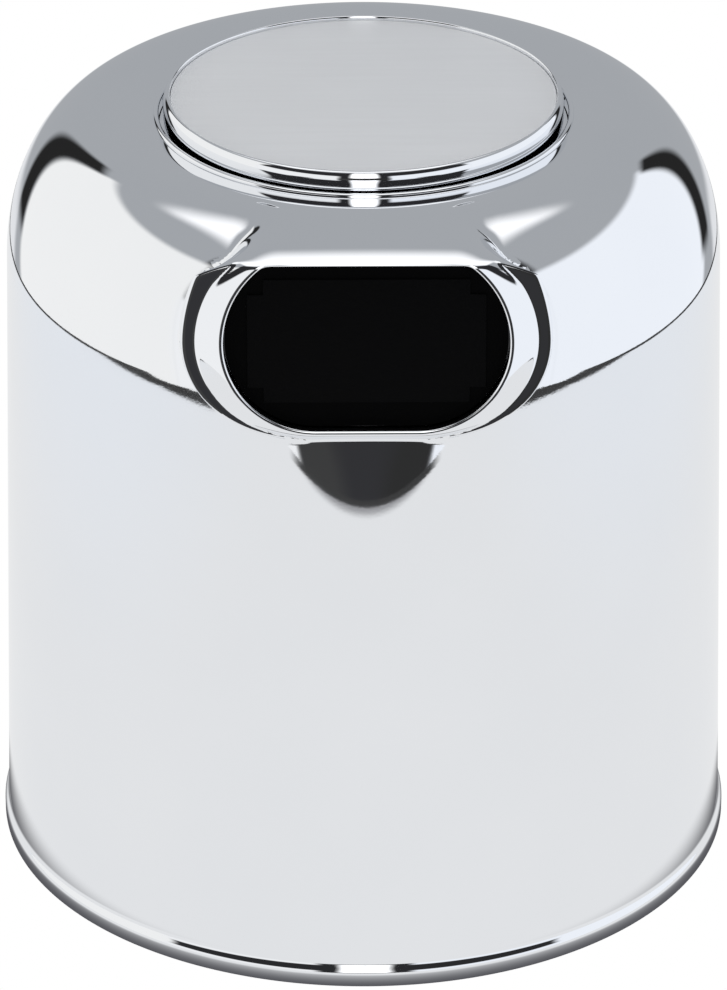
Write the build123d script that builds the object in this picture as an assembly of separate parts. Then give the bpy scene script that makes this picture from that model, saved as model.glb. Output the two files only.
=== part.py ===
"""A push-through wheel centre cap: a hollow chromed cap with a hooded window, a round medallion and a badge plate.

The axis of the cap is Z, the base plane is z = 0 and the window faces -Y. Sizes are millimetres.
"""

import math
import os

from build123d import *

os.makedirs("parts", exist_ok=True)

# Skirt and bottom lip
SKIRT_R = 53.95
FLARE_OUT = 0.55
FLARE_H = 2.0
LIP_BAND = 1.9
LIP_EDGE = 0.45
DRAFT_DEG = 1.4
WALL = 2.4
MOUTH_LAND = 8.0

# Shoulder and deck
DECK_Z = 114.5
SHOULDER_RISE = 21.7
DECK_W = 6.98
DECK_DISH = 0.6

# Medallion, the disc set in it, and the collar round them
RECESS_R = 29.4
RECESS_DEPTH = 3.2
COLLAR_R = 0.4
SEAT_CLEARANCE = 0.1
SEAT_H = 1.6
RIM_GAP = 0.65
RIM_RISE = 2.4
RIM_ROUND = 0.7
RIM_ROUND_H = 1.7
RIM_W = 1.0
FACE_DROP = 0.55
DISC_T = 0.8
DISC_CLEARANCE = 0.05
DISC_EDGE = 0.15

# Window: half sizes of its outline about the widest row, measured in the plane of its lip
WINDOW_DROP = 13.45
WINDOW_HALF_DEG = 22.79
WINDOW_CORNER = 5.6
WINDOW_UP = 11.3
WINDOW_DOWN = 12.7
PAD_TILT_DEG = 5.26
PAD_INSET = 0.88
LIP_W = 0.55
LIP_PROUD = 0.7
LIP_ROUND = 0.3
CHIN_NEAR = 0.05
POCKET_DEPTH = 3.0
POCKET_WALL = 1.8

# Hood round the window: a roll curls back from the lip, then drafted flanks run into the shoulder
ROLL_DEPTH = 3.0
ROLL_SIDE = 3.6
ROLL_CORNER = 1.5
ROLL_TOP = 1.75
ROLL_BOTTOM = 3.0
ROLL_DEG = 72.0
ROLL_STEPS = 4
HOOD_KEEP = 2.0
SIDE_DRAFT_DEG = 19.5
CORNER_DRAFT_DEG = 18.0
TOP_DRAFT_DEG = 0.7
BOTTOM_DRAFT_DEG = 6.6
HOOD_BLEND = 0.5

# Badge plate
BADGE_T = 1.3
BADGE_CLEARANCE = 0.12
PANEL_INSET = 3.2
PANEL_HALF_H = 9.0
PANEL_NOTCH = 2.2
PANEL_RISE = 0.3

DRAFT = math.tan(math.radians(DRAFT_DEG))


def skirt_radius(z: float) -> float:
    """Outer radius of the drafted skirt at a height."""
    return SKIRT_R - DRAFT * z


# The shoulder is near a quarter of an ellipse, tangent to the drafted skirt and to the deck.
ROUND = 0.5523
shoulder_z = DECK_Z - SHOULDER_RISE
skirt_top_r = skirt_radius(shoulder_z)
lip_r = SKIRT_R + FLARE_OUT
flare_top = LIP_BAND + FLARE_H
recess_z = DECK_Z - DECK_DISH - RECESS_DEPTH
collar_out = RECESS_R + 2 * COLLAR_R
collar_z = DECK_Z - DECK_DISH
shoulder_r = collar_out + DECK_W
shoulder_run = skirt_top_r - shoulder_r

with BuildPart() as outer:
    with BuildSketch(Plane.XZ):
        with BuildLine():
            Line((0, 0), (lip_r - LIP_EDGE, 0))
            RadiusArc((lip_r - LIP_EDGE, 0), (lip_r, LIP_EDGE), -LIP_EDGE)
            Line((lip_r, LIP_EDGE), (lip_r, LIP_BAND))
            Bezier(
                (lip_r, LIP_BAND),
                (lip_r, LIP_BAND + 0.45 * FLARE_H),
                (skirt_radius(flare_top) + 0.45 * FLARE_H * DRAFT, flare_top - 0.45 * FLARE_H),
                (skirt_radius(flare_top), flare_top),
            )
            Line((skirt_radius(flare_top), flare_top), (skirt_top_r, shoulder_z))
            Bezier(
                (skirt_top_r, shoulder_z),
                (skirt_top_r - ROUND * SHOULDER_RISE * DRAFT, shoulder_z + ROUND * SHOULDER_RISE),
                (shoulder_r + ROUND * shoulder_run, DECK_Z),
                (shoulder_r, DECK_Z),
            )
            TangentArc((shoulder_r, DECK_Z), (collar_out, collar_z), tangent=(-1, 0))
            ThreePointArc(
                (collar_out, collar_z),
                (RECESS_R + COLLAR_R, collar_z + COLLAR_R),
                (RECESS_R, collar_z),
            )
            Line((RECESS_R, collar_z), (RECESS_R, recess_z))
            Line((RECESS_R, recess_z), (0, recess_z))
            Line((0, recess_z), (0, 0))
        make_face()
    revolve(axis=Axis.Z)

# The hollow inside follows the outside at one wall thickness and steps down under the medallion.
mouth_r = skirt_radius(MOUTH_LAND) - WALL
ceiling_z = recess_z - WALL
crown_z = DECK_Z - DECK_DISH - WALL
inner_top_r = RECESS_R + WALL
inner_r = skirt_top_r - WALL
inner_rise = crown_z - shoulder_z
with BuildPart() as cavity:
    with BuildSketch(Plane.XZ):
        with BuildLine():
            Polyline(
                (0, -WALL),
                (mouth_r, -WALL),
                (mouth_r, MOUTH_LAND),
                (inner_r, shoulder_z),
            )
            Bezier(
                (inner_r, shoulder_z),
                (inner_r - ROUND * inner_rise * DRAFT, shoulder_z + ROUND * inner_rise),
                (shoulder_r + ROUND * (inner_r - shoulder_r), crown_z),
                (shoulder_r, crown_z),
            )
            Polyline(
                (shoulder_r, crown_z),
                (inner_top_r, crown_z),
                (inner_top_r, ceiling_z),
                (0, ceiling_z),
                (0, -WALL),
            )
        make_face()
    revolve(axis=Axis.Z)

# The lip of the window lies in a plane that leans back from the vertical.
tilt = math.radians(PAD_TILT_DEG)
window_z = DECK_Z - WINDOW_DROP
pad_y = skirt_radius(window_z) - PAD_INSET
half_w = pad_y * math.sin(math.radians(WINDOW_HALF_DEG))
half_top = half_w - WINDOW_CORNER
hood_depth = pad_y - collar_out - HOOD_KEEP
lip_plane = Plane(
    origin=(0, -pad_y, window_z),
    x_dir=(1, 0, 0),
    z_dir=(0, -math.cos(tilt), math.sin(tilt)),
)


def outline(top: float, wide: float, up: float, down: float) -> Sketch:
    """The window's outline: a straight top and bottom joined at each side by two arcs that meet at the widest row."""
    side = wide - top
    upper_r = (side * side + up * up) / (2 * side)
    upper_c = wide - upper_r
    bottom = wide - down
    mid_up = math.atan2(up, top - upper_c) / 2
    upper_mid = (upper_c + upper_r * math.cos(mid_up), upper_r * math.sin(mid_up))
    diagonal = down * math.sqrt(0.5)
    lower_mid = (bottom + diagonal, -diagonal)
    with BuildSketch() as face:
        with BuildLine():
            Line((-top, up), (top, up))
            ThreePointArc((top, up), upper_mid, (wide, 0))
            ThreePointArc((wide, 0), lower_mid, (bottom, -down))
            Line((bottom, -down), (-bottom, -down))
            ThreePointArc((-bottom, -down), (-lower_mid[0], lower_mid[1]), (-wide, 0))
            ThreePointArc((-wide, 0), (-upper_mid[0], upper_mid[1]), (-top, up))
        make_face()
    return face.sketch


def window(grow: float) -> Sketch:
    """The window's outline, grown evenly by a distance (shrunk where it is negative)."""
    side = half_w - half_top
    upper_r = (side * side + WINDOW_UP * WINDOW_UP) / (2 * side)
    upper_c = half_w - upper_r
    top = upper_c + math.sqrt((upper_r + grow) ** 2 - (WINDOW_UP + grow) ** 2)
    return outline(top, half_w + grow, WINDOW_UP + grow, WINDOW_DOWN + grow)


def hood_section(turn_deg: float, run: float) -> Sketch:
    """The hood's outline where its roll has turned by an angle, and a run further back along the drafted flanks."""
    out = math.sin(math.radians(turn_deg))
    roll_depth = ROLL_DEPTH * (1 - math.cos(math.radians(turn_deg)))
    return lip_plane.offset(-roll_depth - run) * outline(
        half_top + LIP_W + ROLL_CORNER * out + run * math.tan(math.radians(CORNER_DRAFT_DEG)),
        half_w + LIP_W + ROLL_SIDE * out + run * math.tan(math.radians(SIDE_DRAFT_DEG)),
        WINDOW_UP + LIP_W + ROLL_TOP * out + run * math.tan(math.radians(TOP_DRAFT_DEG)),
        WINDOW_DOWN + LIP_W + ROLL_BOTTOM * out + run * math.tan(math.radians(BOTTOM_DRAFT_DEG)),
    )


# The hood stops short of the collar, under the deck.
roll = loft([hood_section(ROLL_DEG * step / ROLL_STEPS, 0) for step in range(ROLL_STEPS + 1)])
flanks = loft([hood_section(ROLL_DEG, 0), hood_section(ROLL_DEG, hood_depth - ROLL_DEPTH)], ruled=True)
hood = roll + flanks

# The flat chin below the window is a facet a little behind the lip.
chin_plane = lip_plane.offset(-LIP_PROUD)
chin_reach = 2 * lip_r
chin_tool = chin_plane * Pos(0, 0, chin_reach / 2) * Box(chin_reach, chin_reach, chin_reach)
blank = outer.part - chin_tool
hooded = blank + hood
meeting = new_edges(blank, hood, combined=hooded)
blend_edges = [edge for edge in meeting if abs(chin_plane.to_local_coords(edge.center()).Z) > CHIN_NEAR]
solid_cap = fillet(blend_edges, HOOD_BLEND)

# The window's pocket has its own back wall inside the hollow.
backing = extrude(lip_plane.offset(-LIP_W) * window(POCKET_WALL), -(POCKET_DEPTH + WALL - LIP_W))
pocket = extrude(lip_plane * window(0), -POCKET_DEPTH)
cap_body = solid_cap - cavity.part + (backing & solid_cap) - pocket
lip_face = cap_body.faces().filter_by(lambda face: abs(lip_plane.to_local_coords(face.center()).Z) < CHIN_NEAR)
lip_edges = [edge for face in lip_face if face.geom_type == GeomType.PLANE for edge in face.edges()]
cap_body = fillet(lip_edges, LIP_ROUND)

# The medallion sits on the floor of the recess; above its seat an open groove runs round it.
rim_r = RECESS_R - RIM_GAP
face_r = rim_r - RIM_W
rim_z = DECK_Z + RIM_RISE
face_z = rim_z - FACE_DROP
disc_seat_z = face_z - DISC_T
rim_top_in = face_r + DISC_EDGE
rim_top_out = rim_r - RIM_ROUND
with BuildPart() as medallion:
    with BuildSketch(Plane.XZ):
        with BuildLine():
            Polyline(
                (0, recess_z),
                (RECESS_R - SEAT_CLEARANCE, recess_z),
                (RECESS_R - SEAT_CLEARANCE, recess_z + SEAT_H),
                (rim_r, recess_z + SEAT_H),
                (rim_r, rim_z - RIM_ROUND_H),
            )
            Bezier(
                (rim_r, rim_z - RIM_ROUND_H),
                (rim_r, rim_z - (1 - ROUND) * RIM_ROUND_H),
                (rim_top_out + ROUND * RIM_ROUND, rim_z),
                (rim_top_out, rim_z),
            )
            Polyline(
                (rim_top_out, rim_z),
                (rim_top_in, rim_z),
                (face_r, face_z),
                (face_r, disc_seat_z),
                (0, disc_seat_z),
                (0, recess_z),
            )
        make_face()
    revolve(axis=Axis.Z)

disc_r = face_r - DISC_CLEARANCE
emblem_disc = Pos(0, 0, disc_seat_z) * Cylinder(disc_r, DISC_T, align=(Align.CENTER, Align.CENTER, Align.MIN))
emblem_disc = chamfer(emblem_disc.faces().sort_by(Axis.Z)[-1].edges(), DISC_EDGE)

# The badge plate lies on the floor of the pocket and carries a low panel with stepped corners.
badge_plane = lip_plane.offset(-POCKET_DEPTH)
badge_plate = extrude(badge_plane * window(-BADGE_CLEARANCE), BADGE_T)
panel_half_w = half_w - PANEL_INSET
panel = Rectangle(2 * panel_half_w, 2 * (PANEL_HALF_H - PANEL_NOTCH))
panel += Rectangle(2 * (panel_half_w - PANEL_NOTCH), 2 * PANEL_HALF_H)
badge_plate += extrude(badge_plane.offset(BADGE_T) * panel, PANEL_RISE)

for name, shape in {
    "cap_body": cap_body,
    "medallion": medallion.part,
    "emblem_disc": emblem_disc,
    "badge_plate": badge_plate,
}.items():
    export_step(shape, f"parts/{name}.step")
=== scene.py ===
"""Looks of a chromed wheel center cap: cap, medallion, the disc set in it and the badge plate."""

import logging
import math
from dataclasses import dataclass, field
from enum import Enum
from typing import Callable, Sequence

import bmesh
import bpy
import numpy as np
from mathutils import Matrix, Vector


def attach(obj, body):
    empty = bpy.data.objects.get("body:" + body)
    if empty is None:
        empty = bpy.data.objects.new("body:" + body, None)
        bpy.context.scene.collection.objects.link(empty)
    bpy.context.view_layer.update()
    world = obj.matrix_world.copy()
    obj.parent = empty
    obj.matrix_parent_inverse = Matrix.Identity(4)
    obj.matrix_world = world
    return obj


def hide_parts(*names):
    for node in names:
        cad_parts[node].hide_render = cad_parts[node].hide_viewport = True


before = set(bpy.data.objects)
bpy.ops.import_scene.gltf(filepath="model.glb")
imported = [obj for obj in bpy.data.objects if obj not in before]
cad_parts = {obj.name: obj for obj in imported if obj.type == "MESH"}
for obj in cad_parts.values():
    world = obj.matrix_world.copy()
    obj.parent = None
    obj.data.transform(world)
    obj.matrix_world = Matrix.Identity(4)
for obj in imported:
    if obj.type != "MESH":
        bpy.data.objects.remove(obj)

LOG = logging.getLogger("center_cap")
MM = 0.001
ROUND = 0.5523

Colour = tuple[float, float, float]
Point2 = tuple[float, float]


class Body(Enum):
    """The CAD bodies that pieces ride on."""

    ROOT = "root"


class Node(Enum):
    """The CAD nodes that new pieces stand for."""

    CAP = "cap_body"
    MEDALLION = "medallion"
    DISC = "emblem_disc"
    BADGE = "badge_plate"


class Slot(Enum):
    """The material slots of the record."""

    CHROME_BODY = "chrome_body"
    CHROME_RIM = "chrome_rim"
    SATIN_DISC = "satin_disc"
    BLACK_BADGE = "black_badge"


class NodeDesk:
    """A short way to place and join shader nodes."""

    def __init__(self, tree: bpy.types.NodeTree) -> None:
        """Starts with an empty tree.

        Args:
            tree: the node tree to fill.
        """
        self.tree = tree
        tree.nodes.clear()

    def add(self, kind: str, **settings: object) -> bpy.types.Node:
        """Adds a node and sets its own properties.

        Args:
            kind: the node's type name.
            settings: properties of the node.

        Returns:
            The new node.
        """
        node = self.tree.nodes.new(kind)
        for name, value in settings.items():
            setattr(node, name, value)
        return node

    def join(self, source: bpy.types.NodeSocket, target: bpy.types.NodeSocket) -> None:
        """Links two sockets."""
        self.tree.links.new(source, target)

    def math(self, operation: str, first: object, second: object = None) -> bpy.types.NodeSocket:
        """Adds a Math node.

        Args:
            operation: the operation's name.
            first: a socket or a number.
            second: a socket, a number or nothing.

        Returns:
            The node's value socket.
        """
        node = self.add("ShaderNodeMath", operation=operation)
        for place, value in enumerate((first, second)):
            if isinstance(value, bpy.types.NodeSocket):
                self.join(value, node.inputs[place])
            elif value is not None:
                node.inputs[place].default_value = value
        return node.outputs[0]

    def step(self, value: bpy.types.NodeSocket, low: float, high: float) -> bpy.types.NodeSocket:
        """A smooth step from 0 at low to 1 at high.

        Args:
            value: the socket that is measured.
            low: where the step starts.
            high: where the step ends; below low it falls instead of rising.

        Returns:
            The step's socket.
        """
        node = self.add("ShaderNodeMapRange", interpolation_type="SMOOTHSTEP")
        self.join(value, node.inputs["Value"])
        rising = high > low
        node.inputs["From Min"].default_value = low if rising else high
        node.inputs["From Max"].default_value = high if rising else low
        node.inputs["To Min"].default_value = 0.0 if rising else 1.0
        node.inputs["To Max"].default_value = 1.0 if rising else 0.0
        return node.outputs["Result"]

    def blend(self, factor: object, first: object, second: object) -> bpy.types.NodeSocket:
        """Mixes two colours.

        Args:
            factor: a socket or a number.
            first: the colour at factor 0, a socket or a triple.
            second: the colour at factor 1, a socket or a triple.

        Returns:
            The mixed colour's socket.
        """
        node = self.add("ShaderNodeMix", data_type="RGBA")
        for place, value in ((0, factor), (6, first), (7, second)):
            if isinstance(value, bpy.types.NodeSocket):
                self.join(value, node.inputs[place])
            elif place == 0:
                node.inputs[place].default_value = value
            else:
                node.inputs[place].default_value = (*value, 1.0)
        return node.outputs[2]


class SurfaceDesk(NodeDesk):
    """A desk for one surface material, with its shader and the piece's own coordinates."""

    bump_distance: float = 0.0001

    def __init__(self, name: str) -> None:
        """Starts the material.

        Args:
            name: the material's name.
        """
        self.material = bpy.data.materials.new(name)
        self.material.use_nodes = True
        super().__init__(self.material.node_tree)
        self.shader = self.add("ShaderNodeBsdfPrincipled")
        self.where = self.add("ShaderNodeTexCoord").outputs["Object"]
        out = self.add("ShaderNodeOutputMaterial")
        self.join(self.shader.outputs[0], out.inputs["Surface"])

    def noise(
        self, scale: float, detail: float = 2.0, where: bpy.types.NodeSocket | None = None
    ) -> bpy.types.NodeSocket:
        """Adds a noise texture.

        Args:
            scale: how fine it is.
            detail: how many finer layers it has.
            where: the coordinates, or nothing for the piece's own.

        Returns:
            Its factor's socket.
        """
        node = self.add("ShaderNodeTexNoise")
        node.inputs["Scale"].default_value = scale
        node.inputs["Detail"].default_value = detail
        self.join(self.where if where is None else where, node.inputs["Vector"])
        return node.outputs["Fac"]

    def paint(self, factor: bpy.types.NodeSocket, dark: Colour, light: Colour) -> None:
        """Lays a colour between dark and light on the shader."""
        self.join(self.blend(factor, dark, light), self.shader.inputs["Base Color"])

    def roughen(
        self, value: bpy.types.NodeSocket, low: float, high: float, ends: Point2 = (0.0, 1.0)
    ) -> None:
        """Sets the roughness from a texture.

        Args:
            value: the texture's socket.
            low: roughness at the first end.
            high: roughness at the second end.
            ends: the texture's values at the two ends.
        """
        node = self.add("ShaderNodeMapRange")
        node.inputs["From Min"].default_value = ends[0]
        node.inputs["From Max"].default_value = ends[1]
        node.inputs["To Min"].default_value = low
        node.inputs["To Max"].default_value = high
        self.join(value, node.inputs["Value"])
        self.join(node.outputs["Result"], self.shader.inputs["Roughness"])

    def emboss(self, height: bpy.types.NodeSocket, strength: float) -> None:
        """Adds a fine bump to the shader's normal."""
        node = self.add("ShaderNodeBump")
        node.inputs["Strength"].default_value = strength
        node.inputs["Distance"].default_value = self.bump_distance
        self.join(height, node.inputs["Height"])
        self.join(node.outputs["Normal"], self.shader.inputs["Normal"])


@dataclass(frozen=True)
class ChromeFinish:
    """Bright chrome plating: a clear mirror with a faint uneven polish."""

    name: str = "bright_chrome"
    dark: Colour = (0.865, 0.880, 0.905)
    light: Colour = (0.905, 0.915, 0.935)
    rough_low: float = 0.012
    rough_high: float = 0.040
    cloud_scale: float = 38.0
    cloud_detail: float = 4.0
    cloud_ends: Point2 = (0.3, 0.7)
    grain_scale: float = 2600.0
    grain_bump: float = 0.004

    def build(self) -> bpy.types.Material:
        """Makes the material.

        Returns:
            The node material.
        """
        desk = SurfaceDesk(self.name)
        desk.shader.inputs["Metallic"].default_value = 1.0
        cloud = desk.noise(self.cloud_scale, self.cloud_detail)
        desk.paint(cloud, self.dark, self.light)
        desk.roughen(cloud, self.rough_low, self.rough_high, self.cloud_ends)
        desk.emboss(desk.noise(self.grain_scale), self.grain_bump)
        return desk.material


@dataclass(frozen=True)
class SatinFinish:
    """Satin aluminium with a fine straight grain."""

    name: str = "satin_aluminium"
    dark: Colour = (0.925, 0.935, 0.95)
    light: Colour = (0.955, 0.965, 0.98)
    metallic: float = 0.12
    rough_low: float = 0.40
    rough_high: float = 0.46
    grain_scale: float = 900.0
    grain_detail: float = 6.0
    grain_stretch: float = 0.06
    cloud_scale: float = 60.0
    tone_ends: Point2 = (0.10, 0.42)
    bump: float = 0.02

    def build(self) -> bpy.types.Material:
        """Makes the material.

        Returns:
            The node material.
        """
        desk = SurfaceDesk(self.name)
        desk.shader.inputs["Metallic"].default_value = self.metallic
        turn = desk.add("ShaderNodeMapping")
        turn.inputs["Scale"].default_value = (self.grain_stretch, 1.0, 1.0)
        desk.join(desk.where, turn.inputs["Vector"])
        grain = desk.noise(self.grain_scale, self.grain_detail, turn.outputs["Vector"])
        mixed = desk.math("MULTIPLY", grain, desk.noise(self.cloud_scale))
        desk.paint(desk.step(mixed, *self.tone_ends), self.dark, self.light)
        desk.roughen(grain, self.rough_low, self.rough_high)
        desk.emboss(grain, self.bump)
        return desk.material


@dataclass(frozen=True)
class BlackFinish:
    """Satin black moulded plastic with a fine texture."""

    name: str = "satin_black"
    dark: Colour = (0.0008, 0.0008, 0.0009)
    light: Colour = (0.0015, 0.0015, 0.0016)
    rough_low: float = 0.48
    rough_high: float = 0.62
    specular: float = 0.03
    grain_scale: float = 1500.0
    grain_detail: float = 5.0
    bump: float = 0.08

    def build(self) -> bpy.types.Material:
        """Makes the material.

        Returns:
            The node material.
        """
        desk = SurfaceDesk(self.name)
        desk.shader.inputs["Specular IOR Level"].default_value = self.specular
        grain = desk.noise(self.grain_scale, self.grain_detail)
        desk.paint(grain, self.dark, self.light)
        desk.roughen(grain, self.rough_low, self.rough_high)
        desk.emboss(grain, self.bump)
        return desk.material


def cubic(points: Sequence[Point2], count: int) -> list[Point2]:
    """Points along a cubic curve.

    Args:
        points: the four control points.
        count: how many points to give, both ends included.

    Returns:
        The points.
    """
    made = []
    for place in range(count):
        t = place / (count - 1)
        weights = ((1 - t) ** 3, 3 * t * (1 - t) ** 2, 3 * t * t * (1 - t), t**3)
        made.append(tuple(sum(w * p[axis] for w, p in zip(weights, points)) for axis in (0, 1)))
    return made


def smooth_min(first: np.ndarray, second: np.ndarray, reach: np.ndarray) -> np.ndarray:
    """The smaller of two fields, with a round blend where they are nearer than a reach."""
    near = np.maximum(reach - np.abs(first - second), 0.0) / reach
    return np.minimum(first, second) - near**3 * reach / 6.0


def smooth_max(first: np.ndarray, second: np.ndarray, reach: np.ndarray) -> np.ndarray:
    """The larger of two fields, with a round blend where they are nearer than a reach."""
    return -smooth_min(-first, -second, reach)


def smooth_step(value: np.ndarray, low: float, high: float) -> np.ndarray:
    """A smooth step from 0 at low to 1 at high."""
    t = np.clip((value - low) / (high - low), 0.0, 1.0)
    return t * t * (3.0 - 2.0 * t)


def spin_profile(points: Sequence[Point2], steps: int) -> bmesh.types.BMesh:
    """Spins a section round the Z axis.

    Args:
        points: radius and height of each point, in millimetres.
        steps: how many faces go round.

    Returns:
        The new mesh, in metres, with its poles merged.
    """
    mesh = bmesh.new()
    verts = [mesh.verts.new((r * MM, 0.0, z * MM)) for r, z in points]
    edges = [mesh.edges.new(pair) for pair in zip(verts, verts[1:])]
    bmesh.ops.spin(
        mesh,
        geom=verts + edges,
        cent=(0.0, 0.0, 0.0),
        axis=(0.0, 0.0, 1.0),
        angle=2.0 * math.pi,
        steps=steps,
        use_merge=True,
        use_duplicate=False,
    )
    bmesh.ops.remove_doubles(mesh, verts=mesh.verts[:], dist=1e-7)
    return mesh


def finish_piece(mesh: bmesh.types.BMesh, name: str, sharp_deg: float) -> bpy.types.Object:
    """Closes a bmesh into an object with smooth faces and sharp edges by angle.

    Args:
        mesh: the bmesh, which is freed.
        name: the piece's name.
        sharp_deg: edges that turn more than this stay sharp.

    Returns:
        The object, linked into the scene.
    """
    bmesh.ops.recalc_face_normals(mesh, faces=mesh.faces[:])
    limit = math.radians(sharp_deg)
    for face in mesh.faces:
        face.smooth = True
    for edge in mesh.edges:
        edge.smooth = not (edge.is_manifold and edge.calc_face_angle(0.0) > limit)
    data = bpy.data.meshes.new(name)
    mesh.to_mesh(data)
    mesh.free()
    piece = bpy.data.objects.new(name, data)
    bpy.context.scene.collection.objects.link(piece)
    return piece


def settle(piece: bpy.types.Object, node: Node) -> bpy.types.Object:
    """Lets a piece stand for a CAD node, ride on its body and take its slot."""
    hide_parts(node.value)
    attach(piece, Body.ROOT.value)
    return piece


@dataclass
class CapSection:
    """The section of the cap: skirt, lip, shoulder, deck, collar and the hollow inside."""

    lip_r: float = 54.494
    lip_band: float = 1.9
    lip_edge: float = 0.45
    flare_h: float = 2.0
    skirt_r: float = 53.95
    draft: float = math.tan(math.radians(1.4))
    wall: float = 2.4
    mouth_land: float = 8.0
    deck_z: float = 114.5
    shoulder_rise: float = 21.7
    shoulder_run: float = 14.5
    deck_dish: float = 0.6
    recess_r: float = 29.4
    recess_depth: float = 3.2
    collar_r: float = 0.4

    def radius(self, z: float) -> float:
        """Outer radius of the drafted skirt at a height."""
        return self.skirt_r - self.draft * z

    @property
    def shoulder_z(self) -> float:
        """Height at which the shoulder starts."""
        return self.deck_z - self.shoulder_rise

    @property
    def shoulder_r(self) -> float:
        """Radius at which the shoulder reaches the deck."""
        return self.radius(self.shoulder_z) - self.shoulder_run

    @property
    def collar_z(self) -> float:
        """Height of the deck at the collar."""
        return self.deck_z - self.deck_dish

    @property
    def recess_z(self) -> float:
        """Height of the floor of the medallion's recess."""
        return self.collar_z - self.recess_depth

    def shoulder(self, count: int) -> list[Point2]:
        """Points up the shoulder, from the skirt to the deck."""
        low_r = self.radius(self.shoulder_z)
        handle = ROUND * self.shoulder_rise
        return cubic(
            (
                (low_r, self.shoulder_z),
                (low_r - handle * self.draft, self.shoulder_z + handle),
                (self.shoulder_r + ROUND * self.shoulder_run, self.deck_z),
                (self.shoulder_r, self.deck_z),
            ),
            count,
        )

    def deck(self, count: int) -> list[Point2]:
        """Points along the dished deck, from the shoulder in to the collar."""
        run = self.shoulder_r - (self.recess_r + 2 * self.collar_r)
        arc_r = (run * run + self.deck_dish**2) / (2 * self.deck_dish)
        full = math.asin(run / arc_r)
        turns = [full * place / (count - 1) for place in range(count)]
        return [
            (self.shoulder_r - arc_r * math.sin(a), self.deck_z - arc_r * (1 - math.cos(a)))
            for a in turns
        ]

    def collar(self, count: int) -> list[Point2]:
        """Points over the round collar, from the deck to the recess."""
        centre = self.recess_r + self.collar_r
        turns = [math.pi * place / (count - 1) for place in range(count)]
        return [
            (centre + self.collar_r * math.cos(a), self.collar_z + self.collar_r * math.sin(a))
            for a in turns
        ]

    def foot(self) -> list[Point2]:
        """Points from the mouth out over the lip and its flare to the skirt."""
        made = [(self.radius(self.mouth_land) - self.wall, 0.0)]
        centre = self.lip_r - self.lip_edge
        for place in range(7):
            a = 0.5 * math.pi * place / 6
            made.append((centre + self.lip_edge * math.sin(a), self.lip_edge * (1 - math.cos(a))))
        top = self.lip_band + self.flare_h
        handle = 0.45 * self.flare_h
        made += cubic(
            (
                (self.lip_r, self.lip_band),
                (self.lip_r, self.lip_band + handle),
                (self.radius(top) + handle * self.draft, top - handle),
                (self.radius(top), top),
            ),
            15,
        )
        return made

    def skirt(self) -> list[Point2]:
        """Points up the skirt between its ends, closer together near the window."""
        heights = [8.0, 16.0, 26.0, 36.0, 46.0, 54.0, 60.0]
        heights += [62.0 + 1.6 * place for place in range(19)]
        return [(self.radius(z), z) for z in heights]

    def outside(self) -> list[Point2]:
        """All points of the outside, from the mouth to the axis in the recess."""
        made = self.foot() + self.skirt() + self.shoulder(56) + self.deck(12)[1:] + self.collar(13)[1:]
        return made + [(self.recess_r, self.recess_z), (12.0, self.recess_z), (0.0, self.recess_z)]

    def inside(self) -> list[Point2]:
        """All points of the hollow, from the axis under the recess down to the mouth."""
        ceiling = self.recess_z - self.wall
        crown = self.collar_z - self.wall
        step_r = self.recess_r + self.wall
        inner_r = self.radius(self.shoulder_z) - self.wall
        rise = crown - self.shoulder_z
        curve = cubic(
            (
                (inner_r, self.shoulder_z),
                (inner_r - ROUND * rise * self.draft, self.shoulder_z + ROUND * rise),
                (self.shoulder_r + ROUND * (inner_r - self.shoulder_r), crown),
                (self.shoulder_r, crown),
            ),
            20,
        )
        mouth_r = self.radius(self.mouth_land) - self.wall
        top = [(0.0, ceiling), (12.0, ceiling), (step_r, ceiling), (step_r, crown)]
        return top + curve[::-1] + [(mouth_r, self.mouth_land)]


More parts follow.
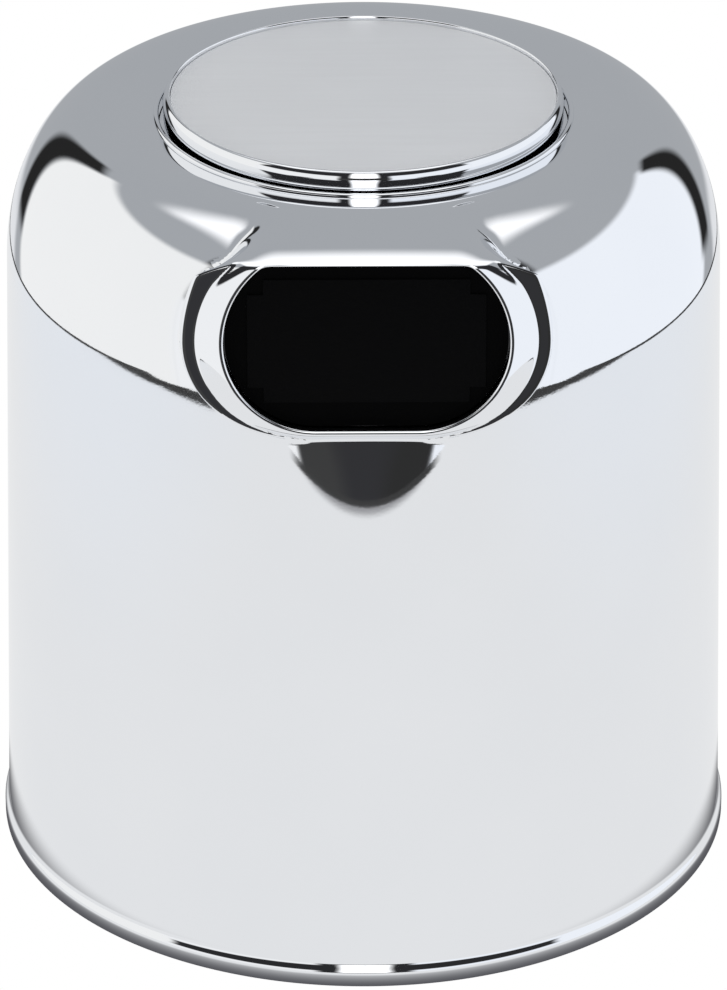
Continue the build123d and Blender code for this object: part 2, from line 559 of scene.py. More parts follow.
@dataclass
class WindowShape:
    """The window's outline and the leaning plane of its lip."""

    z: float = 101.05
    y: float = 50.6
    tilt: float = math.radians(5.26)
    half_w: float = 19.6
    half_top: float = 14.0
    up: float = 11.3
    down: float = 12.7

    @property
    def origin(self) -> np.ndarray:
        """The middle of the widest row, on the lip's plane."""
        return np.array([0.0, -self.y, self.z])

    @property
    def axes(self) -> np.ndarray:
        """Rows: across, up the plane, and out of it."""
        c, s = math.cos(self.tilt), math.sin(self.tilt)
        return np.array([[1.0, 0.0, 0.0], [0.0, s, c], [0.0, -c, s]])

    def local(self, points: np.ndarray) -> np.ndarray:
        """Points in the plane's own across, up and out."""
        return (points - self.origin) @ self.axes.T

    def world(self, points: np.ndarray) -> np.ndarray:
        """Points of the plane's own frame in the row frame."""
        return points @ self.axes + self.origin

    def distance(
        self, across: np.ndarray, up: np.ndarray, corner: float | np.ndarray = 0.8
    ) -> np.ndarray:
        """Signed distance to the outline in its plane, negative inside.

        Args:
            across: places across the plane.
            up: places up the plane.
            corner: how softly the upper corners are rounded.

        Returns:
            The distances.
        """
        side = np.abs(across)
        run = self.half_w - self.half_top
        upper_r = (run * run + self.up * self.up) / (2 * run)
        upper_c = self.half_w - upper_r
        arc = np.hypot(np.maximum(side - upper_c, 0.0), up) - upper_r
        above = smooth_max(arc, up - self.up, corner + np.zeros_like(side))
        half_bottom = self.half_w - self.down
        below = np.hypot(np.maximum(side - half_bottom, 0.0), up) - self.down
        return np.where(up > 0.0, above, below)

    def ring(self, turns: np.ndarray, grow: float) -> np.ndarray:
        """Points where rays from the middle cross the outline grown by a distance.

        Args:
            turns: directions of the rays, in radians.
            grow: the distance.

        Returns:
            Points across and up the plane.
        """
        low = np.full_like(turns, 1.0)
        high = np.full_like(turns, 40.0)
        for _ in range(50):
            middle = 0.5 * (low + high)
            outside = self.distance(middle * np.cos(turns), middle * np.sin(turns)) > grow
            high = np.where(outside, middle, high)
            low = np.where(outside, low, middle)
        return np.stack([low * np.cos(turns), low * np.sin(turns)], axis=1)


@dataclass(frozen=True)
class Ways:
    """One size of the hood at its sides, its top and its bottom."""

    side: float
    top: float
    bottom: float

    def at(self, facing: np.ndarray) -> np.ndarray:
        """The size where the hood faces a way, blended between the three."""
        upright = np.where(facing[:, 1] > 0.0, self.top, self.bottom)
        return self.side * facing[:, 0] ** 2 + upright * facing[:, 1] ** 2


@dataclass
class HoodField:
    """A smooth field that is zero on the outside of the cap, with its hood and chin blended in.

    From the lip a roll falls to a flat pad, and from the pad's edge a wall runs back into the shoulder.
    """

    section: CapSection
    window: WindowShape
    lip_w: float = 0.5
    lip_proud: float = 0.7
    pad_drop: float = 1.15
    roll_start: float = 0.45
    corner_near: float = 0.8
    corner_far: float = 9.0
    corner_band: Point2 = (0.3, 4.0)
    roll: Ways = Ways(3.3, 1.6, 1.1)
    pad: Ways = Ways(5.8, 2.0, 1.6)
    open_top: float = 7.0
    draft: Ways = Ways(0.06, 0.10, 0.19)
    gusset: float = -1.0
    brow_crown: float = 0.8
    brow_reach: float = 12.4
    brow_dip: float = 9.0
    brow_drop: float = 1.0
    brow_run: float = 4.2
    brow_half: float = 12.0
    brow_side: float = 8.0
    brow_end: float = 11.0
    brow_fall_run: float = 6.0
    end_most: float = 2.0
    run_most: float = 1.5
    brow_edge: float = 0.7
    edge: Ways = Ways(0.4, 0.7, 0.4)
    blend: Ways = Ways(0.4, 0.05, 0.5)
    blend_corner: float = 6.0
    blend_band: Point2 = (10.0, 20.0)
    back: float = 16.0
    back_slope: float = 0.6
    chin_round: float = 1.6
    line: np.ndarray = field(init=False)

    def __post_init__(self) -> None:
        """Lays out the section's outer line."""
        made = [(self.section.radius(40.0), 40.0)] + self.section.shoulder(260) + self.section.deck(60)[1:]
        self.line = np.array(made)

    def plain(self, points: np.ndarray) -> np.ndarray:
        """Signed distance to the plain cap, without hood or chin."""
        flat = np.stack([np.hypot(points[:, 0], points[:, 1]), points[:, 2]], axis=1)
        start = self.line[:-1]
        span = self.line[1:] - start
        length2 = (span**2).sum(axis=1)
        outward = np.stack([span[:, 1], -span[:, 0]], axis=1) / np.sqrt(length2)[:, None]
        made = np.empty(len(flat))
        for first in range(0, len(flat), 2000):
            part = flat[first : first + 2000]
            away = part[:, None, :] - start[None]
            t = np.clip((away * span[None]).sum(axis=2) / length2, 0.0, 1.0)
            near = away - t[..., None] * span[None]
            best = (near**2).sum(axis=2).argmin(axis=1)
            rows = np.arange(len(part))
            made[first : first + 2000] = (near[rows, best] * outward[best]).sum(axis=1)
        return made

    def cap(self, points: np.ndarray) -> np.ndarray:
        """The plain cap with the flat chin cut into it."""
        out = self.window.local(points)[:, 2] + self.lip_proud
        return smooth_max(self.plain(points), out, np.full(len(points), self.chin_round))

    def fall(self, beyond: np.ndarray, width: np.ndarray) -> np.ndarray:
        """How far the roll has fallen at a distance beyond the lip."""
        t = np.clip(beyond / width, 0.0, 1.0)
        return self.pad_drop * (self.roll_start * t + (1.0 - self.roll_start) * t * t)

    def away(self, across: np.ndarray, up: np.ndarray) -> np.ndarray:
        """Distance beyond the window's outline, with softer upper corners further out."""
        far = smooth_step(self.window.distance(across, up), *self.corner_band)
        corner = self.corner_near + (self.corner_far - self.corner_near) * far
        return self.window.distance(across, up, corner)

    def facing(self, across: np.ndarray, up: np.ndarray) -> np.ndarray:
        """Directions in the lip's plane in which the distance grows."""
        e = 0.01
        d_across = self.away(across + e, up) - self.away(across - e, up)
        d_up = self.away(across, up + e) - self.away(across, up - e)
        size = np.maximum(np.hypot(d_across, d_up), 1e-9)
        return np.stack([d_across / size, d_up / size], axis=1)

    def brow(self, points: np.ndarray, deep: np.ndarray) -> np.ndarray:
        """Height over the brow, which leaves the deck level, rolls to the lip and falls at its ends.

        Args:
            points: places in millimetres.
            deep: how far each lies behind the lip's plane.

        Returns:
            The heights.
        """
        past = (np.hypot(points[:, 0], points[:, 1]) - self.section.shoulder_r) / self.brow_reach
        crown = self.brow_crown * np.maximum(past, 0.0) ** 2 - self.brow_dip * np.minimum(past, 0.0)
        roll = self.brow_drop * (1.0 - np.clip(deep / self.brow_run, 0.0, 1.0)) ** 2
        beside = (np.abs(points[:, 0]) - self.brow_half) / self.brow_end
        behind = np.clip(deep / self.brow_fall_run, 0.0, self.run_most)
        fall = self.brow_side * np.clip(beside, 0.0, self.end_most) ** 2 * behind
        return points[:, 2] - self.section.deck_z + crown + roll + fall

    def diagonal(self, facing: np.ndarray) -> np.ndarray:
        """How much a place belongs to an upper corner of the hood."""
        return facing[:, 0] ** 2 * np.clip(facing[:, 1], 0.0, 1.0) ** 2

    def lean(self, facing: np.ndarray) -> np.ndarray:
        """How fast the walls widen with depth, most at the upper corners."""
        return self.draft.at(facing) + self.gusset * self.diagonal(facing)

    def full(self, points: np.ndarray) -> np.ndarray:
        """The whole field: cap, chin and hood."""
        place = self.window.local(points)
        across, up, out = place[:, 0], place[:, 1], place[:, 2]
        facing = self.facing(across, up)
        away = self.away(across, up)
        width = self.roll.at(facing)
        beyond = away - self.lip_w
        t = np.clip(beyond / width, 0.0, 1.0)
        steep = self.pad_drop / width * (self.roll_start + 2.0 * (1.0 - self.roll_start) * t)
        steep = steep * ((beyond > 0.0) & (beyond < width))
        front = (out + self.fall(beyond, width)) / np.sqrt(1.0 + steep**2)
        draft = self.lean(facing)
        upward = np.clip(facing[:, 1], 0.0, 1.0) ** 2
        wall = away - self.pad.at(facing) - self.open_top * upward + draft * out
        hood = smooth_max(front, wall / np.sqrt(1.0 + draft**2), self.edge.at(facing))
        hood = smooth_max(hood, self.brow(points, -out), np.full(len(points), self.brow_edge))
        hood = hood + self.back_slope * np.maximum(-out - self.back, 0.0)
        beside = smooth_step(np.abs(points[:, 0]), *self.blend_band)
        reach = self.blend.at(facing) + self.blend_corner * beside * upward**2
        return smooth_min(self.cap(points), hood, reach)

    def drop(self, points: np.ndarray, rounds: int = 7) -> np.ndarray:
        """Moves points onto the surface along the field's slope.

        Args:
            points: places near the surface.
            rounds: how often to step.

        Returns:
            Places on the surface.
        """
        made = points.copy()
        e = 0.004
        for _ in range(rounds):
            value = self.full(made)
            slope = np.empty_like(made)
            for axis in range(3):
                side = np.zeros(3)
                side[axis] = e
                slope[:, axis] = (self.full(made + side) - self.full(made - side)) / (2 * e)
            size2 = np.maximum((slope**2).sum(axis=1), 0.05)
            move = np.clip(value / size2, -1.5, 1.5)
            made -= slope * move[:, None]
        return made


@dataclass
class CapBody:
    """The chromed cap: skirt, lip, shoulder, deck, collar, hollow, and the hooded window in front."""

    section: CapSection
    window: WindowShape
    finish: ChromeFinish
    steps: int = 480
    patch_deg: float = 36.0
    patch_low: float = 66.0
    patch_r: float = 33.6
    pocket_depth: float = 3.0
    edge_round: float = 0.25
    skin: float = 1.2
    skin_share: float = 0.955
    deck_share: float = 0.93
    unroll_r: float = 50.0
    unroll_rise: float = 0.55
    rings_out: int = 27
    rings_ease: float = 1.7
    foot_share: float = 0.6
    wall_search: float = 12.0
    wall_least: float = 0.04
    pocket_rows: Point2 = (0.9, 1.8)

    def in_patch(self, centre: Vector) -> bool:
        """Whether a face of the plain cap makes way for the hood.

        Args:
            centre: the face's middle, in metres.

        Returns:
            True for faces of the outside in front of the window.
        """
        x, y, z = (value / MM for value in centre)
        r = math.hypot(x, y)
        turn = math.degrees(math.atan2(x, -y))
        if z < self.section.shoulder_z:
            outside = r > self.section.radius(z) - self.skin
        elif r > self.section.shoulder_r:
            lift = math.hypot(
                (r - self.section.shoulder_r) / self.section.shoulder_run,
                (z - self.section.shoulder_z) / self.section.shoulder_rise,
            )
            outside = lift > self.skin_share
        else:
            outside = z > self.section.shoulder_z + self.section.shoulder_rise * self.deck_share
        return outside and abs(turn) < self.patch_deg and z > self.patch_low and r > self.patch_r

    def walk(self, mesh: bmesh.types.BMesh) -> list[bmesh.types.BMVert]:
        """Corners round the open patch, in order.

        Args:
            mesh: the mesh with the patch taken out.

        Returns:
            The corners.
        """
        edges = [edge for edge in mesh.edges if edge.is_boundary]
        links: dict[bmesh.types.BMVert, list[bmesh.types.BMVert]] = {}
        for edge in edges:
            a, b = edge.verts
            links.setdefault(a, []).append(b)
            links.setdefault(b, []).append(a)
        first = edges[0].verts[0]
        loop = [first, links[first][0]]
        while True:
            a, b = links[loop[-1]]
            following = b if a is loop[-2] else a
            if following is first:
                return loop
            loop.append(following)

    def flat_turns(self, loop: Sequence[bmesh.types.BMVert]) -> np.ndarray:
        """Directions of the patch's corners from the window's middle, on the unrolled outside."""
        made = []
        for vert in loop:
            x, y, z = (value / MM for value in vert.co)
            turn = math.atan2(x, -y)
            r = math.hypot(x, y)
            rise = z - self.window.z
            inward = self.section.radius(self.section.shoulder_z) - r
            if inward > 0.0:
                rise += self.unroll_rise * inward
            made.append(math.atan2(rise, turn * self.unroll_r))
        return np.array(made)

    def bisect(
        self, outside: Callable[[np.ndarray], np.ndarray], low: np.ndarray, high: np.ndarray
    ) -> np.ndarray:
        """Where a test turns from true to false between two ends, for many places at once."""
        for _ in range(40):
            middle = 0.5 * (low + high)
            out = outside(middle)
            low = np.where(out, middle, low)
            high = np.where(out, high, middle)
        return low

    def ring_places(self, loop: Sequence[bmesh.types.BMVert]) -> list[np.ndarray]:
        """Places of all rings from the patch's edge in to the floor of the pocket.

        Args:
            loop: corners of the patch, in order.

        Returns:
            One array of places for each ring, in millimetres, from the outside in.
        """
        hood = HoodField(self.section, self.window)
        turns = self.flat_turns(loop)
        edge = np.array([[value / MM for value in vert.co] for vert in loop])
        zero = np.zeros(len(loop))
        crest = self.window.world(np.column_stack([self.window.ring(turns, 0.5 * hood.lip_w), zero]))
        brim2 = self.window.ring(turns, hood.lip_w)
        facing = hood.facing(brim2[:, 0], brim2[:, 1])
        width = hood.roll.at(facing)

        def on_front(beyond: np.ndarray) -> np.ndarray:
            """Places on the roll and the pad at a distance beyond the lip."""
            flat = brim2 + facing * beyond[:, None]
            return self.window.world(np.column_stack([flat, -hood.fall(beyond, width)]))

        def held(beyond: np.ndarray) -> np.ndarray:
            """Whether such places stand clear of the cap and below the brow."""
            place = on_front(beyond)
            return (hood.cap(place) > 0.0) & (hood.brow(place, hood.fall(beyond, width)) < 0.0)

        upward = np.clip(facing[:, 1], 0.0, 1.0) ** 2
        reach = self.bisect(held, zero, hood.pad.at(facing) + hood.open_top * upward - hood.lip_w)
        foot = on_front(np.minimum(width, self.foot_share * reach))
        corner = on_front(reach)
        along = np.column_stack([facing * hood.lean(facing)[:, None], -np.ones(len(loop))])
        along = self.window.world(along) - self.window.origin
        search = zero + self.wall_search
        depth = self.bisect(lambda far: hood.cap(corner + along * far[:, None]) > 0.0, zero, search)
        meet = corner + along * np.maximum(depth, self.wall_least)[:, None]
        brim = on_front(zero)
        shares = 1.0 - (1.0 - np.linspace(0.0, 1.0, self.rings_out)[1:-1]) ** self.rings_ease
        rings = [edge + (meet - edge) * share for share in shares]
        spans = ((meet, corner, 14), (corner, foot, 7), (foot, brim, 11), (brim, crest, 3))
        for first, last, count in spans:
            rings += [first + (last - first) * (place / count) for place in range(count)]
        rings.append(crest)
        sizes = [len(ring) for ring in rings]
        placed = hood.drop(np.concatenate(rings))
        rings = list(np.split(placed, np.cumsum(sizes)[:-1]))
        for place in range(6):
            a = 0.5 * math.pi * place / 5
            inset = self.edge_round * (1.0 - math.sin(a))
            deep = self.edge_round * (1.0 - math.cos(a))
            ring2 = self.window.ring(turns, inset)
            rings.append(self.window.world(np.column_stack([ring2, zero - deep])))
        wall2 = self.window.ring(turns, 0.0)
        for deep in (*self.pocket_rows, self.pocket_depth):
            rings.append(self.window.world(np.column_stack([wall2, zero - deep])))
        return rings

    def build(self) -> bpy.types.Object:
        """Makes the cap's mesh.

        Returns:
            The piece.
        """
        points = self.section.inside() + self.section.outside()
        mesh = spin_profile(points, self.steps)
        patch = [face for face in mesh.faces if self.in_patch(face.calc_center_median())]
        bmesh.ops.delete(mesh, geom=patch, context="FACES")
        loop = self.walk(mesh)
        for ring in self.ring_places(loop):
            pairs = list(zip(loop, loop[1:] + loop[:1]))
            edges = [mesh.edges.get(pair) for pair in pairs]
            made = bmesh.ops.extrude_edge_only(mesh, edges=edges)
            fresh = {item for item in made["geom"] if isinstance(item, bmesh.types.BMVert)}
            following = []
            for vert, place in zip(loop, ring):
                others = (edge.other_vert(vert) for edge in vert.link_edges)
                twin = next(other for other in others if other in fresh)
                twin.co = Vector(place) * MM
                following.append(twin)
            loop = following
        rim = [mesh.edges.get(pair) for pair in zip(loop, loop[1:] + loop[:1])]
        bmesh.ops.contextual_create(mesh, geom=rim)
        piece = finish_piece(mesh, "chrome_cap", 32.0)
        self.dress(piece)
        return settle(piece, Node.CAP)

    def dress(self, piece: bpy.types.Object) -> None:
        """Gives the cap its chrome."""
        piece.data.materials.append(self.finish.build())


@dataclass
class Medallion:
    """The chromed button on the deck, with its raised round rim and the seat of the disc."""

    section: CapSection
    finish: ChromeFinish
    seat_clearance: float = 0.1
    seat_h: float = 1.6
    rim_r: float = 28.75
    rim_rise: float = 2.4
    rim_round: float = 0.7
    rim_round_h: float = 1.7
    face_r: float = 27.75
    face_drop: float = 0.55
    disc_t: float = 0.8
    bead_edge: float = 0.15
    bead_drop: float = 0.1
    seat_edge: float = 0.2
    steps: int = 320

    @property
    def rim_z(self) -> float:
        """Height of the rim's crest."""
        return self.section.deck_z + self.rim_rise

    @property
    def seat_z(self) -> float:
        """Height of the seat under the disc."""
        return self.rim_z - self.face_drop - self.disc_t

    def build(self) -> bpy.types.Object:
        """Makes the medallion's mesh.

        Returns:
            The piece.
        """
        low = self.section.recess_z
        out_r = self.section.recess_r - self.seat_clearance
        crest_out = self.rim_r - self.rim_round
        crest_in = self.face_r + self.bead_edge
        points = [(0.0, low), (out_r - self.seat_edge, low), (out_r, low + self.seat_edge)]
        points += [(out_r, low + self.seat_h), (self.rim_r, low + self.seat_h)]
        points += cubic(
            (
                (self.rim_r, self.rim_z - self.rim_round_h),
                (self.rim_r, self.rim_z - (1 - ROUND) * self.rim_round_h),
                (crest_out + ROUND * self.rim_round, self.rim_z),
                (crest_out, self.rim_z),
            ),
            18,
        )
        points += cubic(
            (
                (crest_in + 0.5 * self.bead_edge, self.rim_z),
                (crest_in, self.rim_z),
                (self.face_r, self.rim_z - self.bead_drop),
                (self.face_r, self.rim_z - self.face_drop),
            ),
            9,
        )
        points += [(self.face_r, self.seat_z), (0.0, self.seat_z)]
        piece = finish_piece(spin_profile(points, self.steps), "medallion_button", 40.0)
        self.dress(piece)
        return settle(piece, Node.MEDALLION)

    def dress(self, piece: bpy.types.Object) -> None:
        """Gives the medallion its chrome."""
        piece.data.materials.append(self.finish.build())


@dataclass
class EmblemDisc:
    """The bare satin disc laid in the medallion."""

    medallion: Medallion
    finish: SatinFinish
    clearance: float = 0.05
    edge: float = 0.15
    segments: int = 256

    def build(self) -> bpy.types.Object:
        """Makes the disc's mesh.

        Returns:
            The piece.
        """
        mesh = bmesh.new()
        radius = (self.medallion.face_r - self.clearance) * MM
        made = bmesh.ops.create_circle(mesh, cap_ends=True, segments=self.segments, radius=radius)
        bmesh.ops.translate(mesh, verts=made["verts"], vec=(0.0, 0.0, self.medallion.seat_z * MM))
        raised = bmesh.ops.extrude_face_region(mesh, geom=mesh.faces[:] + mesh.edges[:])
        top = [item for item in raised["geom"] if isinstance(item, bmesh.types.BMVert)]
        bmesh.ops.translate(mesh, verts=top, vec=(0.0, 0.0, self.medallion.disc_t * MM))
        rim = [edge for edge in mesh.edges if all(vert in set(top) for vert in edge.verts)]
        bmesh.ops.bevel(
            mesh,
            geom=rim,
            offset=self.edge * MM,
            segments=3,
            profile=0.5,
            affect="EDGES",
            material=-1,
        )
        piece = finish_piece(mesh, "satin_disc", 35.0)
        self.dress(piece)
        return settle(piece, Node.DISC)

    def dress(self, piece: bpy.types.Object) -> None:
        """Gives the disc its satin aluminium."""
        piece.data.materials.append(self.finish.build())


@dataclass
class BadgePlate:
    """The bare black plate in the window, with a low panel on it."""

    window: WindowShape
    plate_finish: BlackFinish
    panel_finish: BlackFinish
    pocket_depth: float = 3.0
    thick: float = 1.3
    clearance: float = 0.12
    panel_half_w: float = 16.4
    panel_half_h: float = 9.0
    panel_notch: float = 2.2
    panel_rise: float = 0.3
    panel_edge: float = 0.12
    edge: float = 0.2
    corners: int = 240

    def slab(self, mesh: bmesh.types.BMesh, outline: np.ndarray, low: float, high: float, edge: float) -> None:
        """Adds a slab with a rounded front edge.

        Args:
            mesh: the mesh it goes into.
            outline: corners across and up the lip's plane, in millimetres.
            low: depth of its back, measured out of the plane.
            high: depth of its front.
            edge: radius of the front edge.
        """
        before = set(mesh.faces)
        back = self.window.world(np.column_stack([outline, np.full(len(outline), low)]))
        verts = [mesh.verts.new(Vector(place) * MM) for place in back]
        base = bmesh.ops.contextual_create(mesh, geom=verts)["faces"]
        raised = bmesh.ops.extrude_face_region(mesh, geom=base)
        top = {item for item in raised["geom"] if isinstance(item, bmesh.types.BMVert)}
        lift = Vector(self.window.axes[2]) * ((high - low) * MM)
        bmesh.ops.translate(mesh, verts=list(top), vec=lift)
        rim = [item for item in mesh.edges if item.verts[0] in top and item.verts[1] in top]
        bmesh.ops.bevel(
            mesh,
            geom=rim,
            offset=edge * MM,
            segments=3,
            profile=0.5,
            affect="EDGES",
            material=-1,
        )
        bmesh.ops.recalc_face_normals(mesh, faces=[face for face in mesh.faces if face not in before])

    def build(self) -> bpy.types.Object:
        """Makes the plate's mesh.

        Returns:
            The piece.
        """
        mesh = bmesh.new()
        turns = np.linspace(-math.pi, math.pi, self.corners, endpoint=False)
        front = self.thick - self.pocket_depth
        self.slab(mesh, self.window.ring(turns, -self.clearance), -self.pocket_depth, front, self.edge)
        plate_faces = set(mesh.faces)
        w, h, n = self.panel_half_w, self.panel_half_h, self.panel_notch
        quarter = [(w, h - n), (w - n, h - n), (w - n, h)]
        right = [(x, -y) for x, y in quarter[::-1]] + quarter
        outline = np.array(right + [(-x, y) for x, y in right[::-1]])
        self.slab(mesh, outline, front, front + self.panel_rise, self.panel_edge)
        for face in mesh.faces:
            face.material_index = 0 if face in plate_faces else 1
        piece = finish_piece(mesh, "black_badge_plate", 35.0)
        self.dress(piece)
        return settle(piece, Node.BADGE)

    def dress(self, piece: bpy.types.Object) -> None:
        """Gives the plate and its panel their satin blacks, the plate's darker with painted shade of the
        pocket round the panel.
        """
        piece.data.materials.append(self.plate_finish.build())
        piece.data.materials.append(self.panel_finish.build())


@dataclass(frozen=True)
class SoftCard:
    """A card of the studio, seen as a patch of directions round the part."""

    turn: Point2
    rise: Point2
    colour: Colour
    soft: float = 2.0
    mirrored: bool = True


@dataclass
class Studio:
    """Pale table, soft surround and camera."""

    table_r: float = 0.250
    # painted shade line round the table's edge, where the cards stand: its width and softness (m)
    shade_line_w: float = 0.007
    shade_line_soft: float = 0.001
    table_low: float = 0.0002
    side_band: Point2 = (0.10, 0.25)
    front_band: Point2 = (-0.238, -0.248)
    front_half: Point2 = (0.075, 0.045)
    # painted contact shadow: the radii (m) over which the table darkens in to the part's foot
    contact_shadow_band: Point2 = (0.062, 0.0545)
    slant_front: Point2 = (-0.175, -0.19)
    slant_side: Point2 = (0.06, 0.08)
    table_colour: Colour = (0.84, 0.845, 0.85)
    table_side: Colour = (0.84, 0.865, 0.90)
    table_front: Colour = (0.36, 0.36, 0.37)
    # colour of the painted contact shadow round the part's foot
    table_contact_shadow: Colour = (0.10, 0.10, 0.11)
    # colour of the painted shade line at the table's edge
    shade_line_colour: Colour = (0.05, 0.05, 0.05)
    overhead: Colour = (0.40, 0.415, 0.435)
    cards: tuple[SoftCard, ...] = (
        SoftCard(turn=(150.0, 190.0), rise=(-60.0, -16.0), colour=(0.80, 0.81, 0.83), soft=3.0),
        SoftCard(turn=(-63.0, 63.0), rise=(-60.0, 52.0), colour=(0.025, 0.025, 0.027), mirrored=False),
        SoftCard(turn=(-142.0, -60.0), rise=(-60.0, 39.0), colour=(0.95, 0.95, 0.94), mirrored=False),
        SoftCard(turn=(60.0, 138.0), rise=(-60.0, 30.0), colour=(0.94, 0.97, 1.02), mirrored=False),
        SoftCard(turn=(-62.0, -14.0), rise=(-60.0, 14.0), colour=(0.95, 0.955, 0.96), mirrored=False),
        SoftCard(turn=(14.0, 62.0), rise=(-60.0, 14.0), colour=(0.94, 0.97, 1.02), mirrored=False),
        SoftCard(turn=(-152.0, -142.0), rise=(-15.0, 35.0), colour=(0.02, 0.02, 0.02), mirrored=False),
        SoftCard(turn=(136.0, 145.0), rise=(-17.0, 28.0), colour=(0.02, 0.02, 0.02), mirrored=False),
        SoftCard(turn=(-14.0, 14.0), rise=(-60.0, 0.0), colour=(0.035, 0.035, 0.038), mirrored=False),
        SoftCard(turn=(-14.0, -3.0), rise=(-60.0, 0.0), colour=(0.05, 0.05, 0.05), soft=2.0, mirrored=False),
        SoftCard(turn=(3.0, 14.0), rise=(-60.0, 0.0), colour=(0.03, 0.03, 0.03), soft=2.0, mirrored=False),
        SoftCard(turn=(-1.0, 7.5), rise=(4.0, 50.0), colour=(1.8, 1.8, 1.8), soft=2.0),
    )
    roof_light: Colour = (1.18, 1.18, 1.19)
    roof_x: Point2 = (-0.50, 0.50)
    roof_y: Point2 = (-0.34, 0.40)
    roof_soft: float = 0.18
    roof_side_soft: float = 0.06
    roof_edge: float = 0.04
    roof_z: float = 0.78
    eye: tuple[float, float, float] = (-0.00658, -0.75416, 0.44251)
    pitch_deg: float = 62.61
    turn_deg: float = -0.5
    lens: float = 208.04

    def camera(self) -> None:
        """Places the camera where the photograph was taken."""
        data = bpy.data.cameras.new("camera")
        data.lens = self.lens
        data.sensor_width = 36.0
        data.clip_start = 0.05
        data.clip_end = 20.0
        camera = bpy.data.objects.new("camera", data)
        camera.location = self.eye
        camera.rotation_euler = (math.radians(self.pitch_deg), 0.0, math.radians(self.turn_deg))
        bpy.context.scene.collection.objects.link(camera)
        bpy.context.scene.camera = camera

    def shown_white(self, desk: NodeDesk, inner: bpy.types.NodeSocket, kind: str) -> bpy.types.NodeSocket:
        """A light that the camera sees as plain white and everything else sees in its own colour.

        Args:
            desk: the node desk.
            inner: the colour that is not for the camera.
            kind: the shader node's type.

        Returns:
            The shader's socket.
        """
        path = desk.add("ShaderNodeLightPath")
        shader = desk.add(kind)
        desk.join(desk.blend(path.outputs["Is Camera Ray"], inner, (1.0, 1.0, 1.0)), shader.inputs["Color"])
        shader.inputs["Strength"].default_value = 1.0
        return shader.outputs[0]

    def table(self) -> None:
        """Lays the round pale table under the part, with painted shade on it: a contact shadow round the
        part's foot and a dark line at its edge where the cards stand.
        """
        mesh = bmesh.new()
        outer = self.table_r + self.shade_line_w
        bmesh.ops.create_circle(mesh, cap_ends=True, segments=192, radius=outer)
        bmesh.ops.translate(mesh, verts=mesh.verts[:], vec=(0.0, 0.0, -self.table_low))
        table = finish_piece(mesh, "table", 60.0)
        material = bpy.data.materials.new("pale_table")
        material.use_nodes = True
        desk = NodeDesk(material.node_tree)
        out = desk.add("ShaderNodeOutputMaterial")
        place = desk.add("ShaderNodeTexCoord").outputs["Object"]
        away = desk.add("ShaderNodeVectorMath", operation="LENGTH")
        desk.join(place, away.inputs[0])
        far = away.outputs["Value"]
        parts = desk.add("ShaderNodeSeparateXYZ")
        desk.join(place, parts.inputs[0])
        sideways = desk.math("ABSOLUTE", parts.outputs[0])
        colour = desk.blend(desk.step(sideways, *self.side_band), self.table_colour, self.table_side)
        ahead = desk.step(parts.outputs[1], *self.front_band)
        middle = desk.step(sideways, *self.front_half)
        colour = desk.blend(desk.math("MULTIPLY", ahead, middle), colour, self.table_front)
        # painted contact shadow: the table darkens towards the part's foot, and the chrome's lower edge
        # reflects it
        colour = desk.blend(desk.step(far, *self.contact_shadow_band), colour, self.table_contact_shadow)
        # painted shade: a dark line round the table's edge where the cards stand on it, left out towards the
        # front on both sides
        edge = desk.step(far, self.table_r - self.shade_line_soft, self.table_r + self.shade_line_soft)
        front = desk.step(parts.outputs[1], *self.slant_front)
        slant = desk.math("MULTIPLY", front, desk.step(sideways, *self.slant_side))
        shade_line = desk.blend(slant, self.shade_line_colour, self.table_colour)
        colour = desk.blend(edge, colour, shade_line)
        desk.join(self.shown_white(desk, colour, "ShaderNodeEmission"), out.inputs["Surface"])
        table.data.materials.append(material)

    def surround(self) -> None:
        """Sets up the soft surround of cards."""
        world = bpy.data.worlds.new("studio")
        bpy.context.scene.world = world
        world.use_nodes = True
        desk = NodeDesk(world.node_tree)
        out = desk.add("ShaderNodeOutputWorld")
        parts = desk.add("ShaderNodeSeparateXYZ")
        desk.join(desk.add("ShaderNodeTexCoord").outputs["Generated"], parts.inputs[0])
        x, y, z = parts.outputs
        degrees = 180.0 / math.pi
        turn = desk.math("MULTIPLY", desk.math("ARCTAN2", x, desk.math("MULTIPLY", y, -1.0)), degrees)
        rise = desk.math("MULTIPLY", desk.math("ARCSINE", z), degrees)
        side = desk.math("ABSOLUTE", turn)
        colour: object = self.overhead
        for card in self.cards:
            where = side if card.mirrored else turn
            across = self.band(desk, where, card.turn, card.soft)
            mask = desk.math("MULTIPLY", across, self.band(desk, rise, card.rise, card.soft))
            colour = desk.blend(mask, colour, card.colour)
        along = self.band(desk, y, self.roof_y, self.roof_soft)
        roof = desk.math("MULTIPLY", self.band(desk, x, self.roof_x, self.roof_side_soft), along)
        high = desk.step(z, self.roof_z - self.roof_edge, self.roof_z + self.roof_edge)
        roof = desk.math("MULTIPLY", roof, high)
        colour = desk.blend(roof, colour, self.roof_light)
        desk.join(self.shown_white(desk, colour, "ShaderNodeBackground"), out.inputs["Surface"])

    def band(
        self, desk: NodeDesk, value: bpy.types.NodeSocket, ends: Point2, soft: float
    ) -> bpy.types.NodeSocket:
        """A mask that is 1 between two ends and falls off softly outside them."""
        low = desk.step(value, ends[0] - soft, ends[0] + soft)
        high = desk.step(value, ends[1] + soft, ends[1] - soft)
        return desk.math("MULTIPLY", low, high)

    def build(self) -> None:
        """Makes the whole studio."""
        self.camera()
        self.table()
        self.surround()
        bpy.context.scene.view_settings.view_transform = "Standard"


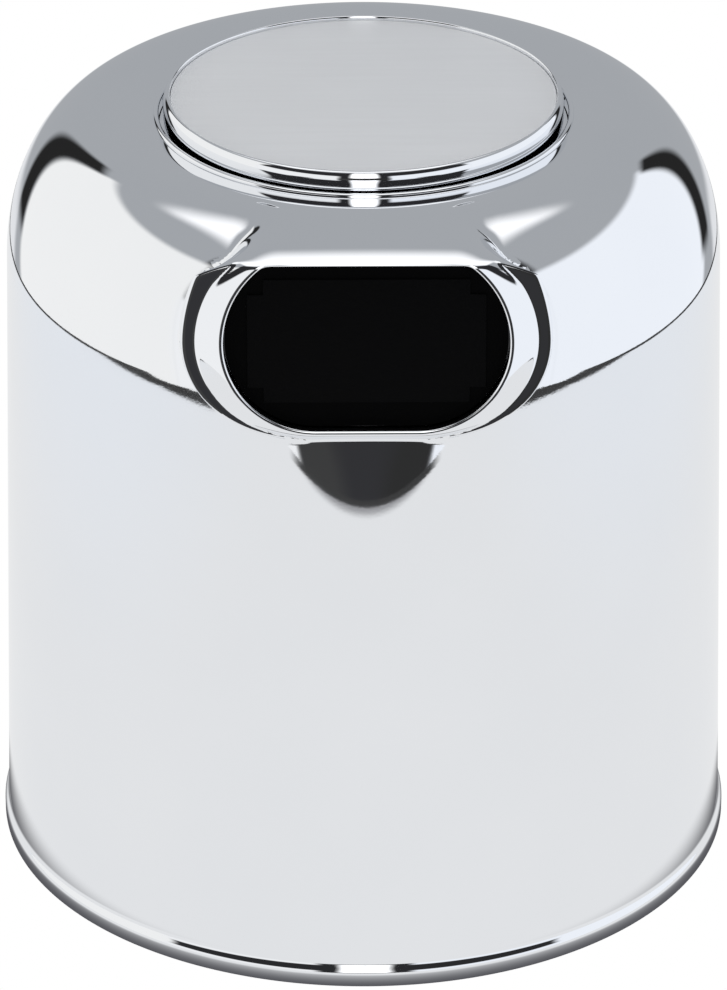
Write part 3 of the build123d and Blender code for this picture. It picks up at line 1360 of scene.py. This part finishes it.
def main() -> None:
    """Builds every piece and the studio, and logs each piece's face count."""
    logging.basicConfig(level=logging.INFO)
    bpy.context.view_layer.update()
    section = CapSection()
    window = WindowShape()
    medallion = Medallion(section, ChromeFinish(name="rim_chrome"))
    makers: list[Callable[[], bpy.types.Object]] = [
        CapBody(section, window, ChromeFinish()).build,
        medallion.build,
        EmblemDisc(medallion, SatinFinish()).build,
        BadgePlate(
            window,
            # The plate's black is darker than the panel's: its own black plastic, with painted shade of the
            # pocket round the panel laid on it.
            BlackFinish(),
            BlackFinish(name="panel_black", dark=(0.0022, 0.0022, 0.0024), light=(0.0035, 0.0035, 0.0037)),
        ).build,
    ]
    for maker in makers:
        piece = maker()
        LOG.info("%s: %d faces", piece.name, len(piece.data.polygons))
    Studio().build()


if __name__ == "__main__":
    main()
